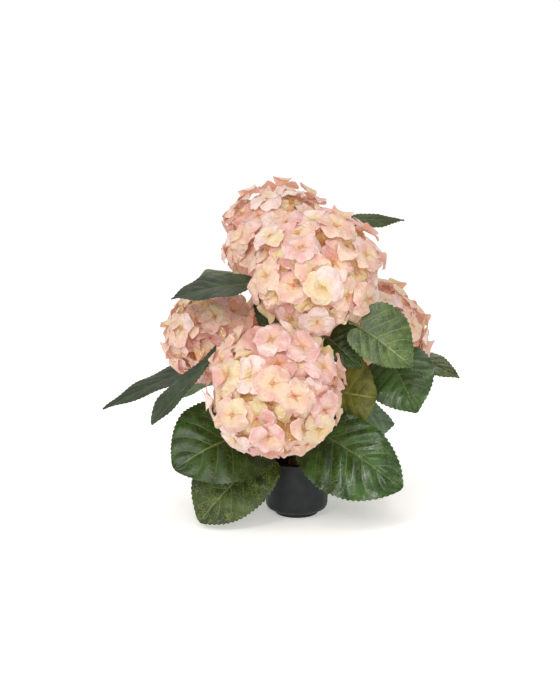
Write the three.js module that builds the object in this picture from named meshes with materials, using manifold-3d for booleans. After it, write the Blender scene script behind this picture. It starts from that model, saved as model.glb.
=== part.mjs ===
// Artificial hydrangea in a small black pot: fabric mophead blooms and serrated leaves on
// wired stems that fork from one short main stem. Millimetres, +Z up, the origin at the
// middle of the pot's flat underside, the fullest bloom towards -Y.
import * as THREE from "three";
import { mergeVertices } from "three/addons/utils/BufferGeometryUtils.js";
import Module from "manifold-3d";

const wasm = await Module();
wasm.setup();

const { Vector3 } = THREE;
const vec = (p) => new Vector3(...p);

// ---- driving sizes -------------------------------------------------------------------

const gap = 0.35; // kept between pieces that meet

const pot = {
  height: 74,
  rimRadius: 44.5,
  wall: 2.2,
  lip: 2.4, // height of the rolled rim
  bodyRadius: 41, // just above the rounded bottom edge
  footRadius: 28,
  footHeight: 6,
  sides: 28,
};

const fill = { top: 67, floor: 9 }; // dark plug cast into the pot

const mainStem = { height: 46, footRadius: 10.5, topRadius: 7.5, lean: [1.5, -1] };

const flowerStem = { baseRadius: 3.3, tipRadius: 2.5, sides: 6, steps: 7 };

// Each bloom: its middle, its radius, where its stem starts in the main stem, and the elbow
// that the stem bends round. The bloom faces away from the elbow.
const blooms = {
  front: { centre: [-28, -112, 191], radius: 85, start: [-1, -4, 100], elbow: [-12, -34, 166] },
  upper: { centre: [22, -66, 331], radius: 85, start: [3, -3, 106], elbow: [8, -10, 245] },
  crown: { centre: [-24, 70, 358], radius: 79, start: [-3, 2, 108], elbow: [-6, 30, 250] },
  left: { centre: [-116, 32, 235], radius: 67, start: [-4, 0, 96], elbow: [-45, 14, 200] },
  right: { centre: [111, 58, 232], radius: 73, start: [4, 1, 94], elbow: [42, 20, 192] },
  back: { centre: [-8, 133, 220], radius: 77, start: [2, 5, 96], elbow: [-2, 52, 180] },
};

const bloom = {
  coreShare: 0.62, // radius of the solid middle, as a share of the bloom's
  domeShare: 0.92, // height of the dome over its radius
  underShare: 0.75, // depth of the underside over its radius
  openAngle: 125, // degrees from the facing direction to the last ring of florets
  stub: 12, // length of stalk that leaves the middle
  floretsAt85: 20, // florets on a bloom of 85 mm radius
};

const floret = {
  reach: 30, // from its middle to a petal's corner
  notch: 0.6, // depth of the gap between petals, as a share of the reach
  petalHalfAngle: 23,
  cup: 4, // rise of the petals' corners
  neckRadius: 8, // where the underside gathers
  neckDepth: 6,
};

const leaf = { thickness: 1.5, rows: 6, columns: 4, petioleRadius: 2.1, petioleTip: 1.5, sweep: 0.09 };

// Each leaf: the limb it grows on and how far along, the two ends of its blade, the way its
// upper side faces, its width, how far the blade arches and how far its halves fold up. Some
// also have the elbow of their stalk, and an outline of their own: a larger widest puts the
// broad part nearer the tip, a smaller taper makes the blade blunter, and skew is how much
// broader one half is than the other.
const leaves = {
  low_front_left: {
    on: ["trunk", 0.66],
    base: [-60, -42, 116],
    tip: [-149, -104, 90],
    face: [-0.3, -0.8, 0.5],
    width: 128,
    arch: 14,
    fold: 0.06,
    widest: 0.84,
    taper: 0.5,
  },
  lowest_front_left: {
    on: ["trunk", 0.34],
    base: [-47, -46, 88],
    tip: [-122, -74, 14],
    face: [-0.2, -0.88, 0.42],
    width: 98,
    arch: 8,
    fold: 0.05,
    widest: 0.84,
    taper: 0.5,
    skew: -0.08,
    elbow: [-18, -28, 108],
  },
  low_front_right: {
    on: ["trunk", 0.5],
    base: [28, -50, 122],
    tip: [126, -98, 64],
    face: [0.15, -0.9, 0.35],
    width: 104,
    arch: 12,
    fold: 0.06,
    widest: 0.84,
    taper: 0.54,
    skew: -0.18,
  },
  low_right: {
    on: ["right", 0.12],
    base: [63, 73, 129],
    tip: [134, 100, 96],
    face: [0.2, -0.75, 0.6],
    width: 64,
    arch: 6,
    fold: 0.1,
    skew: -0.35,
  },
  middle_right: {
    on: ["upper", 0.3],
    base: [38, -18, 172],
    tip: [96, -50, 167],
    face: [-0.45, -0.87, 0.1],
    width: 94,
    arch: 7,
    fold: -0.08,
    widest: 1.3,
    taper: 0.42,
  },
  upper_right: {
    on: ["upper", 0.72],
    base: [74, -106, 267],
    tip: [134, -116, 222],
    face: [0.12, -0.9, 0.35],
    width: 73,
    arch: 5,
    fold: 0.05,
    skew: 0.22,
  },
  inner_right: {
    on: ["upper", 0.64],
    base: [39, -58, 244],
    tip: [75, -72, 211],
    face: [0.1, -0.85, 0.5],
    width: 54,
    arch: 4,
    fold: 0.06,
    skew: 0.3,
  },
  outer_right: {
    on: ["upper", 0.6],
    base: [122, -14, 208],
    tip: [150, -46, 150],
    face: [-0.1, -0.9, 0.4],
    width: 88,
    arch: 7,
    fold: 0.08,
    widest: 0.74,
    taper: 0.6,
  },
  far_right: {
    on: ["back", 0.4],
    base: [156, 108, 186],
    tip: [218, 68, 169],
    face: [0.1, -0.4, 0.85],
    width: 54,
    arch: 5,
    fold: 0.1,
    elbow: [70, 96, 168],
  },
  high_right: {
    on: ["crown", 0.6],
    base: [80, 92, 381],
    tip: [142, 98, 380],
    face: [0, -0.34, 0.94],
    width: 44,
    arch: 1,
    fold: -0.04,
    taper: 0.9,
    elbow: [60, 90, 330],
  },
  high_left: {
    on: ["upper", 0.66],
    base: [-57, -30, 309],
    tip: [-154, -52, 294],
    face: [-0.08, -0.3, 0.95],
    width: 72,
    arch: 5,
    fold: 0.1,
    widest: 0.95,
    taper: 0.85,
  },
  far_left: {
    on: ["left", 0.5],
    base: [-129, 122, 175],
    tip: [-260, 66, 126],
    face: [0.05, -0.13, 0.98],
    width: 58,
    arch: 4,
    fold: 0.08,
  },
  middle_left: {
    on: ["left", 0.4],
    base: [-104, -46, 222],
    tip: [-180, -72, 140],
    face: [-0.66, -0.42, 0.6],
    width: 44,
    arch: 1,
    fold: 0.1,
    widest: 1.9,
    taper: 0.45,
    skew: -0.35,
  },
  inner_left: {
    on: ["crown", 0.4],
    base: [4, 14, 235],
    tip: [-53, 14, 274],
    face: [-0.6, -0.75, 0.1],
    width: 56,
    arch: 5,
    fold: 0.1,
  },
  low_back_left: {
    on: ["trunk", 0.62],
    base: [-34, 34, 130],
    tip: [-124, 108, 66],
    face: [-0.3, 0.5, 0.8],
    width: 112,
    arch: 14,
    fold: 0.08,
  },
  low_back_right: {
    on: ["trunk", 0.5],
    base: [12, 60, 98],
    tip: [64, 150, 36],
    face: [0.35, 0.6, 0.75],
    width: 108,
    arch: 14,
    fold: 0.08,
  },
  lowest_back: {
    on: ["trunk", 0.3],
    base: [-22, 52, 84],
    tip: [-52, 142, 20],
    face: [0, 0.6, 0.8],
    width: 100,
    arch: 12,
    fold: 0.08,
    elbow: [-12, 26, 104],
  },
  middle_back_left: {
    on: ["back", 0.3],
    base: [-66, 94, 146],
    tip: [-166, 140, 122],
    face: [-0.2, 0.3, 0.9],
    width: 88,
    arch: 14,
    fold: 0.1,
  },
  middle_back_right: {
    on: ["back", 0.3],
    base: [60, 122, 138],
    tip: [156, 166, 116],
    face: [0.2, 0.4, 0.9],
    width: 88,
    arch: 14,
    fold: 0.1,
  },
  high_back: {
    on: ["crown", 0.5],
    base: [-60, 128, 294],
    tip: [-134, 184, 282],
    face: [-0.3, 0.4, 0.9],
    width: 84,
    arch: 12,
    fold: 0.1,
    elbow: [-64, 58, 288],
  },
  low_left: {
    on: ["trunk", 0.6],
    base: [-46, 2, 104],
    tip: [-136, 10, 42],
    face: [-0.55, -0.05, 0.8],
    width: 84,
    arch: 12,
    fold: 0.1,
  },
  low_side_right: {
    on: ["trunk", 0.42],
    base: [46, 2, 90],
    tip: [122, 6, 32],
    face: [0.6, -0.05, 0.8],
    width: 76,
    arch: 10,
    fold: 0.1,
  },
  upper_back_right: {
    on: ["crown", 0.42],
    base: [46, 112, 280],
    tip: [116, 158, 250],
    face: [0.3, 0.35, 0.9],
    width: 80,
    arch: 12,
    fold: 0.1,
    elbow: [44, 66, 262],
  },
};

// ---- solids from geometries ----------------------------------------------------------

function solidOf(geometry) {
  geometry.deleteAttribute("normal");
  geometry.deleteAttribute("uv");
  const merged = mergeVertices(geometry, 1e-3);
  return new wasm.Manifold(
    new wasm.Mesh({
      numProp: 3,
      vertProperties: new Float32Array(merged.attributes.position.array),
      triVerts: new Uint32Array(merged.index.array),
    }),
  );
}

function geometryOf(solid) {
  const { vertProperties, triVerts } = solid.getMesh();
  const geometry = new THREE.BufferGeometry()
    .setAttribute("position", new THREE.BufferAttribute(vertProperties, 3))
    .setIndex(new THREE.BufferAttribute(triVerts, 1));
  geometry.computeVertexNormals();
  return geometry;
}

// The largest of the bodies that a cut leaves.
const largest = (solid) => solid.decompose().sort((a, b) => b.volume() - a.volume())[0];

// Moves each vertex of a geometry to where place() puts it.
function reshape(geometry, place) {
  const position = geometry.getAttribute("position");
  const at = new Vector3();
  for (let i = 0; i < position.count; i += 1) {
    at.fromBufferAttribute(position, i);
    position.setXYZ(i, ...place(at));
  }
  return geometry;
}

// Repeatable random numbers from 0 to 1.
function seeded(seed) {
  let state = seed;
  return () => {
    state = (state * 48271) % 2147483647;
    return state / 2147483647;
  };
}

// ---- limbs ---------------------------------------------------------------------------

// A tapering limb: a capped cylinder bent along a curve that lies in one plane.
function limb(curve, baseRadius, tipRadius, sides, steps, extra = 0) {
  const ends = [curve.getPoint(0), curve.getPoint(1)];
  const chord = ends[1].clone().sub(ends[0]);
  const bow = curve.getPoint(0.5).sub(ends[0]);
  const across = new Vector3().crossVectors(chord, bow);
  if (across.length() < 1) across.crossVectors(chord, new Vector3(0, 1, 0.3));
  across.normalize();
  const cylinder = new THREE.CylinderGeometry(tipRadius + extra, baseRadius + extra, 1, sides, steps);
  return solidOf(
    reshape(cylinder, ({ x, y, z }) => {
      const t = Math.min(1, Math.max(0, y + 0.5));
      const tangent = curve.getTangent(t);
      const beside = new Vector3().crossVectors(across, tangent);
      return curve.getPoint(t).addScaledVector(across, x).addScaledVector(beside, z);
    }),
  );
}

const trunkCurve = new THREE.QuadraticBezierCurve3(
  new Vector3(0, 0, fill.top + gap),
  new Vector3(0, 0, fill.top + mainStem.height / 2),
  new Vector3(...mainStem.lean, fill.top + mainStem.height),
);

function trunk(extra = 0) {
  return limb(trunkCurve, mainStem.footRadius, mainStem.topRadius, 10, 3, extra);
}

const facing = ({ centre, elbow }) => vec(centre).sub(vec(elbow)).normalize();

function stemCurve(one) {
  const inward = one.radius * bloom.coreShare * bloom.underShare + bloom.stub + gap;
  const end = vec(one.centre).addScaledVector(facing(one), -inward);
  return new THREE.QuadraticBezierCurve3(vec(one.start), vec(one.elbow), end);
}

function stem(one, extra = 0) {
  const { baseRadius, tipRadius, sides, steps } = flowerStem;
  return limb(stemCurve(one), baseRadius, tipRadius, sides, steps, extra);
}

// Every limb with the gap round it, in the order that they are cut clear of one another.
const grownLimbs = [trunk(gap)];
const flowerStems = {};
for (const [name, one] of Object.entries(blooms)) {
  flowerStems[name] = largest(grownLimbs.reduce((rest, other) => rest.subtract(other), stem(one)));
  grownLimbs.push(stem(one, gap));
}

// ---- leaves --------------------------------------------------------------------------

// Half the blade's width at t along it, from its heart-shaped foot to its pointed tip.
const bladeShape = (t, { widest = 0.7, taper = 0.62 }) =>
  0.34 * (1 - t) ** 6 + Math.sin(Math.PI * t ** widest) ** taper;

function leafFrame(one) {
  const base = vec(one.base);
  const along = vec(one.tip).sub(base);
  const length = along.length();
  along.normalize();
  const up = vec(one.face);
  up.addScaledVector(along, -up.dot(along)).normalize();
  const side = new Vector3().crossVectors(up, along);
  return { base, along, up, side, length };
}

// The point of a blade at v across it, from -1 to 1, and t along it, raised by lift.
function bladePoint(one, frame, v, t, lift) {
  const slope = (4 * one.arch * (1 - 2 * t)) / frame.length;
  const tangent = frame.along.clone().addScaledVector(frame.up, slope).normalize();
  const normal = new Vector3().crossVectors(tangent, frame.side);
  const share = bladeShape(Math.min(1, Math.max(0, t)), one);
  const lopsided = 1 + (one.skew ?? 0) * Math.sign(v);
  const half = Math.max(leaf.petioleTip, (one.width / 2) * share * lopsided);
  return frame.base
    .clone()
    .addScaledVector(frame.along, frame.length * (t - leaf.sweep * Math.abs(v) * (1 - t) ** 4))
    .addScaledVector(frame.up, 4 * one.arch * t * (1 - t))
    .addScaledVector(frame.side, half * v)
    .addScaledVector(normal, half * one.fold * Math.abs(v) + lift);
}

function leafSolid(one) {
  const frame = leafFrame(one);
  const { rows, columns, thickness } = leaf;
  const box = new THREE.BoxGeometry(2, thickness, 1, columns, 1, rows);
  const blade = solidOf(
    reshape(box, ({ x, y, z }) => {
      const t = (1 - Math.cos(Math.PI * (z + 0.5))) / 2;
      return bladePoint(one, frame, x, t, y);
    }),
  );
  const [limbName, share] = one.on;
  const curve = limbName === "trunk" ? trunkCurve : stemCurve(blooms[limbName]);
  const start = curve.getPoint(share);
  const sunk = bladePoint(one, frame, 0, 0.06, 0);
  const foot = bladePoint(one, frame, 0, 0, 0);
  const elbow = one.elbow
    ? vec(one.elbow)
    : foot.clone().addScaledVector(sunk.clone().sub(foot).normalize(), -0.4 * foot.distanceTo(start));
  const path = new THREE.QuadraticBezierCurve3(start, elbow, sunk);
  const petiole = limb(path, leaf.petioleRadius, leaf.petioleTip, 4, 4);
  return largest(grownLimbs.reduce((rest, limbSolid) => rest.subtract(limbSolid), blade.add(petiole)));
}

const leafSolids = Object.fromEntries(Object.entries(leaves).map(([name, one]) => [name, leafSolid(one)]));

// Whether a floret would touch one of the leaves, which then keeps its place.
const meetsLeaf = (piece) =>
  Object.values(leafSolids).some((other) => piece.minGap(other, 2 * gap) < gap);

// ---- blooms --------------------------------------------------------------------------

// One floret as a closed body: four broad petals, thin at their edges, on a pointed stalk
// that runs down into the bloom. A twelve-sided drum gives two corners and a notch to each
// petal. Its middle is at the origin, facing +Z.
function floretGeometry(stalk, random) {
  const lifts = Array.from({ length: 4 }, () => floret.cup * (0.3 + random()));
  return reshape(new THREE.CylinderGeometry(1, 1, 2, 12).rotateX(Math.PI / 2), ({ x, y, z }) => {
    if (Math.hypot(x, y) < 0.5) return [0, 0, z > 0 ? 0 : -stalk];
    const turn = Math.round((Math.atan2(y, x) * 12) / (2 * Math.PI));
    const third = ((turn % 3) + 3) % 3;
    const petal = Math.floor((turn + 13) / 3) % 4;
    const degrees = petal * 90 + (third === 1 ? 1 : -1) * floret.petalHalfAngle;
    const notch = third === 2;
    const angle = THREE.MathUtils.degToRad(notch ? petal * 90 - 45 : degrees);
    const reach = z < 0 ? floret.neckRadius : floret.reach * (notch ? floret.notch : 1);
    const rise = z < 0 ? -floret.neckDepth : notch ? 0 : lifts[petal];
    return [reach * Math.cos(angle), reach * Math.sin(angle), rise];
  });
}

// Turns +Z of a bloom's own frame to the way that it faces.
const turned = (one) => new THREE.Quaternion().setFromUnitVectors(new Vector3(0, 0, 1), facing(one));

// Where the florets sit: even rings that wind down from the top of the dome.
function floretPlaces(one, count, seed) {
  const random = seeded(seed);
  const lowest = Math.cos(THREE.MathUtils.degToRad(bloom.openAngle));
  const golden = Math.PI * (3 - Math.sqrt(5));
  return Array.from({ length: count }, (_, i) => {
    const height = 1 - ((i + 0.5) / count) * (1 - lowest);
    const ring = Math.sqrt(1 - height * height);
    const angle = i * golden + (random() - 0.5) * 0.3;
    const share = height > 0 ? bloom.domeShare : bloom.underShare;
    const direction = new Vector3(ring * Math.cos(angle), ring * Math.sin(angle), height * share);
    const depth = one.radius - floret.cup - random() * 6;
    return { at: direction.clone().multiplyScalar(depth), direction, spin: random() * Math.PI * 2 };
  });
}

function bloomSolid(name) {
  const one = blooms[name];
  const seed = 11 + Object.keys(blooms).indexOf(name) * 97;
  const random = seeded(seed + 5);
  const core = one.radius * bloom.coreShare;
  const flatten = (bloom.domeShare + bloom.underShare) / 2;
  const middle = new THREE.IcosahedronGeometry(core, 1).scale(1, 1, flatten);
  const stub = new THREE.CylinderGeometry(flowerStem.tipRadius, flowerStem.tipRadius, core + bloom.stub, 6)
    .rotateX(Math.PI / 2)
    .translate(0, 0, -(core * bloom.underShare + bloom.stub) + (core + bloom.stub) / 2);
  const world = new THREE.Matrix4().compose(vec(one.centre), turned(one), new Vector3(1, 1, 1));
  let solid = solidOf(middle.applyMatrix4(world)).add(solidOf(stub.applyMatrix4(world)));
  const count = Math.round(bloom.floretsAt85 * (one.radius / 85) ** 2);
  for (const place of floretPlaces(one, count, seed)) {
    const stalk = place.at.length() - core * 0.7;
    const outward = place.direction.clone().normalize();
    const geometry = floretGeometry(stalk, random)
      .rotateZ(place.spin)
      .applyQuaternion(new THREE.Quaternion().setFromUnitVectors(new Vector3(0, 0, 1), outward))
      .translate(...place.at)
      .applyMatrix4(world);
    const piece = solidOf(geometry);
    if (!meetsLeaf(piece)) solid = solid.add(piece);
  }
  // Where two blooms press together, each keeps to its own side of the plane between them.
  for (const [otherName, other] of Object.entries(blooms)) {
    const between = vec(one.centre).sub(vec(other.centre));
    const distance = between.length();
    if (otherName === name || distance > one.radius + other.radius + 4) continue;
    const normal = between.normalize();
    const share = other.radius / (one.radius + other.radius);
    const point = vec(other.centre).addScaledVector(normal, distance * share + gap / 2);
    solid = largest(solid.trimByPlane(normal.toArray(), point.dot(normal)));
  }
  return solid;
}

// ---- pot -----------------------------------------------------------------------------

// Turns an outline of [radius, height] pairs round +Z.
function turnedSolid(outline) {
  const points = outline.map(([r, z]) => new THREE.Vector2(r, z));
  return solidOf(new THREE.LatheGeometry(points, pot.sides).rotateX(Math.PI / 2));
}

const wallAt = (z) =>
  THREE.MathUtils.lerp(pot.bodyRadius, pot.rimRadius - 1.2, (z - 14) / (pot.height - 14));

function potSolid() {
  const { height, rimRadius, wall, lip, footRadius, footHeight, bodyRadius } = pot;
  return turnedSolid([
    [0, 0],
    [footRadius, 0],
    [footRadius + 0.6, footHeight],
    [bodyRadius - 5, footHeight + 1.5],
    [bodyRadius - 1.2, footHeight + 4.5],
    [bodyRadius, footHeight + 8],
    [wallAt(height - lip), height - lip],
    [rimRadius, height - lip],
    [rimRadius, height],
    [wallAt(height) - wall, height],
    [wallAt(fill.floor) - wall - 3, fill.floor - gap],
    [0, fill.floor - gap],
  ]);
}

function fillSolid() {
  return turnedSolid([
    [0, fill.floor],
    [wallAt(fill.floor) - pot.wall - 4, fill.floor],
    [wallAt(fill.top) - pot.wall - 1, fill.top],
    [0, fill.top],
  ]);
}

// ---- materials and assembly ----------------------------------------------------------

const material = (color, roughness) => new THREE.MeshStandardMaterial({ color, roughness, metalness: 0 });
const materials = {
  pot: material(0x2a2f33, 0.55),
  fill: material(0x2b1712, 0.95),
  stem: material(0x4c5a32, 0.7),
  leaf: material(0x35502a, 0.45),
  bloom: material(0xf3c9bd, 0.85),
};

const plant = new THREE.Group();

function place(name, solid, finish) {
  const mesh = new THREE.Mesh(geometryOf(solid), finish);
  mesh.name = name;
  plant.add(mesh);
}

place("pot", potSolid(), materials.pot);
place("pot_fill", fillSolid(), materials.fill);
place("main_stem", trunk(), materials.stem);
for (const name of Object.keys(blooms)) {
  place(`stem_${name}`, flowerStems[name], materials.stem);
  place(`bloom_${name}`, bloomSolid(name), materials.bloom);
}
for (const [name, solid] of Object.entries(leafSolids)) place(`leaf_${name}`, solid, materials.leaf);

export default plant;
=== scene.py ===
import math

import bpy
import numpy as np
from mathutils import Matrix, Vector
from mathutils.bvhtree import BVHTree


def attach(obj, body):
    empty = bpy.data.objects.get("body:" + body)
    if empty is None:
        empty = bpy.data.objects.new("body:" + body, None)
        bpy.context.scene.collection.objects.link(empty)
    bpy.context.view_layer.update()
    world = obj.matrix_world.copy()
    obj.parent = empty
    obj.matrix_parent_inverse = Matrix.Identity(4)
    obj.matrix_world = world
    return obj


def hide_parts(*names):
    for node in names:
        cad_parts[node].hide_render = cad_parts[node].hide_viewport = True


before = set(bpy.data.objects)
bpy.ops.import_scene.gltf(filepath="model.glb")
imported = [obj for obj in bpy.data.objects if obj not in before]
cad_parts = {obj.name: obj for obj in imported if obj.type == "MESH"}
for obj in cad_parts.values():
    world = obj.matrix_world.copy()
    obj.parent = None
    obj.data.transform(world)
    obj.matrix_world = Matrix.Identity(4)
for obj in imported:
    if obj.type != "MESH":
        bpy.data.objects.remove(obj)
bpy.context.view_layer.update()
mm = 0.001  # the settings below are in millimetres, the scene is in metres


def activate(*objects):
    bpy.ops.object.select_all(action="DESELECT")
    for one in objects:
        one.select_set(True)
    bpy.context.view_layer.objects.active = objects[0]


def readPoints(mesh):
    points = np.zeros(len(mesh.vertices) * 3)
    mesh.vertices.foreach_get("co", points)
    return points.reshape(-1, 3)


def writePoints(mesh, points):
    mesh.vertices.foreach_set("co", np.asarray(points, float).ravel())
    mesh.update()


def unit(vector):
    vector = np.asarray(vector, float)
    return vector / np.linalg.norm(vector)


def bezier(start, middle, end, share):
    share = np.asarray(share, float)[..., None]
    start, middle, end = np.array(start), np.array(middle), np.array(end)
    return (1 - share) ** 2 * start + 2 * share * (1 - share) * middle + share**2 * end


def seeded(seed):
    state = [seed]

    def following():
        state[0] = state[0] * 48271 % 2147483647
        return state[0] / 2147483647

    return following


def finishPiece(piece, slot, *nodes):
    if nodes:
        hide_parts(*nodes)
    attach(piece, "root")
    return piece


def meshFromArrays(name, points, faces, finishes, faceFinish=None, pointMap=None):
    mesh = bpy.data.meshes.new(name)
    mesh.from_pydata((np.asarray(points) * mm).tolist(), [], np.asarray(faces).tolist())
    for finish in finishes:
        mesh.materials.append(finish)
    if faceFinish is not None:
        mesh.polygons.foreach_set("material_index", np.asarray(faceFinish, np.int32))
    mesh.polygons.foreach_set("use_smooth", np.ones(len(mesh.polygons), bool))
    if pointMap is not None:
        corners = np.zeros(len(mesh.loops), np.int32)
        mesh.loops.foreach_get("vertex_index", corners)
        mesh.uv_layers.new(name="petalMap").data.foreach_set("uv", pointMap[corners].ravel())
    mesh.update()
    piece = bpy.data.objects.new(name, mesh)
    bpy.context.scene.collection.objects.link(piece)
    return piece


def tint(code):  # "f3c9bd" to the linear colour that a shader takes
    parts = [int(code[i : i + 2], 16) / 255 for i in (0, 2, 4)]
    return tuple(p / 12.92 if p < 0.04045 else ((p + 0.055) / 1.055) ** 2.4 for p in parts) + (1,)


def newFinish(name, **sockets):
    finish = bpy.data.materials.new(name)
    finish.use_nodes = True
    shader = finish.node_tree.nodes["Principled BSDF"]
    for socket, value in sockets.items():
        shader.inputs[socket.replace("_", " ")].default_value = value
    return finish, finish.node_tree, shader


def paint(tree, shader, colour):
    tree.links.new(colour, shader.inputs["Base Color"])


def plug(tree, socket, value):
    if isinstance(value, bpy.types.NodeSocket):
        tree.links.new(value, socket)
    else:
        socket.default_value = value


def sums(tree, operation, *values):
    node = tree.nodes.new("ShaderNodeMath")
    node.operation = operation
    for socket, value in zip(node.inputs, values):
        plug(tree, socket, value)
    return node.outputs[0]


def ramp(tree, value, low, high, outLow=0.0, outHigh=1.0):
    node = tree.nodes.new("ShaderNodeMapRange")
    node.interpolation_type = "SMOOTHSTEP"
    for socket, one in zip(node.inputs, (value, low, high, outLow, outHigh)):
        plug(tree, socket, one)
    return node.outputs[0]


def mixTints(tree, share, first, second):
    node = tree.nodes.new("ShaderNodeMix")
    node.data_type = "RGBA"
    plug(tree, node.inputs[0], share)
    plug(tree, node.inputs[6], first)
    plug(tree, node.inputs[7], second)
    return node.outputs[2]


def objectPoints(tree, scale=(1, 1, 1)):
    place = tree.nodes.new("ShaderNodeTexCoord")
    mapping = tree.nodes.new("ShaderNodeMapping")
    mapping.inputs["Scale"].default_value = scale
    tree.links.new(place.outputs["Object"], mapping.inputs["Vector"])
    return mapping.outputs[0]


def cloud(tree, where, scale, detail=2.0, rough=0.5):
    node = tree.nodes.new("ShaderNodeTexNoise")
    node.inputs["Scale"].default_value = scale
    node.inputs["Detail"].default_value = detail
    node.inputs["Roughness"].default_value = rough
    tree.links.new(where, node.inputs["Vector"])
    return node.outputs["Fac"]


def cells(tree, where, scale, feature="DISTANCE_TO_EDGE"):
    node = tree.nodes.new("ShaderNodeTexVoronoi")
    node.feature = feature
    node.inputs["Scale"].default_value = scale
    tree.links.new(where, node.inputs["Vector"])
    return node.outputs["Distance"]


def relief(tree, shader, height, strength, distance):
    node = tree.nodes.new("ShaderNodeBump")
    node.inputs["Strength"].default_value = strength
    node.inputs["Distance"].default_value = distance
    tree.links.new(height, node.inputs["Height"])
    tree.links.new(node.outputs[0], shader.inputs["Normal"])


potSizes = {
    "sides": 96,
    "outline": [  # radius, height
        (24.0, 0.0), (27.4, 0.0), (28.2, 0.6), (28.5, 1.6), (28.6, 6.0), (33.0, 6.3), (36.0, 7.0),
        (38.2, 8.2), (39.8, 10.2), (40.7, 12.4), (41.1, 15.0), (41.5, 25.0), (42.0, 38.0), (42.5, 52.0),
        (43.0, 66.0), (43.2, 71.2), (43.9, 71.5), (44.4, 72.0), (44.6, 72.8), (44.4, 73.6), (43.8, 74.0),
        (42.2, 74.0), (41.5, 73.7), (41.2, 73.0), (40.6, 64.0), (40.3, 60.0),
    ],
    "fillTop": 67.0,
    "fillRadius": 40.4,
    "fillSides": 64,
    "fillDepth": 6,
    "mound": (2.2, 15),  # height and spread of the heap round the trunk
}

potFinish, tree, shader = newFinish("blackPlastic", Roughness=0.5, Specular_IOR_Level=0.4)
where = objectPoints(tree)
dust = ramp(tree, cloud(tree, where, 34, 4), 0.45, 0.8)
paint(tree, shader, mixTints(tree, dust, tint("0b1316"), tint("161f22")))
tree.links.new(ramp(tree, cloud(tree, where, 90, 3), 0.2, 0.8, 0.42, 0.6), shader.inputs["Roughness"])
relief(tree, shader, cloud(tree, where, 900, 2), 0.25, 0.0004)

fillFinish, tree, shader = newFinish("darkFill", Roughness=0.95, Specular_IOR_Level=0.2)
where = objectPoints(tree)
lumps = cells(tree, where, 420, "F1")
paint(tree, shader, mixTints(tree, ramp(tree, lumps, 0.1, 0.7), tint("3a241b"), tint("140c0a")))
relief(tree, shader, lumps, 0.9, 0.0012)


def closeShape(piece):
    bpy.ops.mesh.select_all(action="SELECT")
    bpy.ops.mesh.normals_make_consistent(inside=False)
    bpy.ops.object.mode_set(mode="OBJECT")
    activate(piece)
    bpy.ops.object.transform_apply(location=True, rotation=True, scale=True)


def turnOutline(name, outline, sides):
    radius, height = outline[0]
    bpy.ops.mesh.primitive_circle_add(
        vertices=sides, radius=radius * mm, fill_type="NGON", location=(0, 0, height * mm)
    )
    piece = bpy.context.object
    piece.name = piece.data.name = name
    bpy.ops.object.mode_set(mode="EDIT")
    bpy.ops.mesh.select_all(action="DESELECT")
    bpy.ops.mesh.select_mode(type="EDGE")
    bpy.ops.mesh.select_all(action="SELECT")
    bpy.ops.mesh.region_to_loop()
    for (r0, z0), (r1, z1) in zip(outline, outline[1:]):  # one ring after another up the outline
        bpy.ops.mesh.extrude_edges_move(TRANSFORM_OT_translate={"value": (0, 0, (z1 - z0) * mm)})
        bpy.ops.transform.resize(value=(r1 / r0, r1 / r0, 1), center_override=(0, 0, z1 * mm))
    bpy.ops.mesh.edge_face_add()
    closeShape(piece)
    return piece


potPiece = turnOutline("plant_pot", potSizes["outline"], potSizes["sides"])
potPiece.data.materials.append(potFinish)
activate(potPiece)
bpy.ops.object.shade_smooth_by_angle(angle=math.radians(35))
finishPiece(potPiece, "pot", "pot")

# a rough cast surface that fills the pot to just under its rim
bpy.ops.mesh.primitive_circle_add(
    vertices=potSizes["fillSides"],
    radius=potSizes["fillRadius"] * mm,
    fill_type="TRIFAN",
    location=(0, 0, potSizes["fillTop"] * mm),
)
fillPiece = bpy.context.object
fillPiece.name = fillPiece.data.name = "pot_filling"
bpy.ops.object.mode_set(mode="EDIT")
bpy.ops.mesh.select_all(action="SELECT")
bpy.ops.mesh.subdivide(number_cuts=6)
bpy.ops.mesh.select_all(action="SELECT")
bpy.ops.mesh.extrude_region_move(TRANSFORM_OT_translate={"value": (0, 0, -potSizes["fillDepth"] * mm)})
closeShape(fillPiece)
points = readPoints(fillPiece.data) / mm
radius = np.hypot(points[:, 0], points[:, 1])
top = points[:, 2] > potSizes["fillTop"] - 1
rough = (
    np.sin(points[:, 0] * 0.9 + 1.3 * np.sin(points[:, 1] * 0.5))
    + np.sin(points[:, 1] * 1.1 + 1.7 * np.sin(points[:, 0] * 0.6))
    + 0.6 * np.sin(points[:, 0] * 2.3 + points[:, 1] * 1.9)
)
mound, spread = potSizes["mound"]
points[top, 2] += 0.45 * rough[top] - 0.8 + mound * np.exp(-((radius[top] / spread) ** 2))
writePoints(fillPiece.data, points * mm)
fillPiece.data.materials.append(fillFinish)
bpy.ops.object.shade_smooth_by_angle(angle=math.radians(50))
finishPiece(fillPiece, "fill", "pot_fill")
print("stage: pot and fill made")

bloomSizes = {  # middle, radius, start of its stem, elbow of its stem
    "front": ((-28, -112, 191), 85, (-1, -4, 100), (-12, -34, 166)),
    "upper": ((22, -66, 331), 85, (3, -3, 106), (8, -10, 245)),
    "crown": ((-24, 70, 358), 79, (-3, 2, 108), (-6, 30, 250)),
    "left": ((-116, 32, 235), 67, (-4, 0, 96), (-45, 14, 200)),
    "right": ((111, 58, 232), 73, (4, 1, 94), (42, 20, 192)),
    "back": ((-8, 133, 220), 77, (2, 5, 96), (-2, 52, 180)),
}

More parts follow.
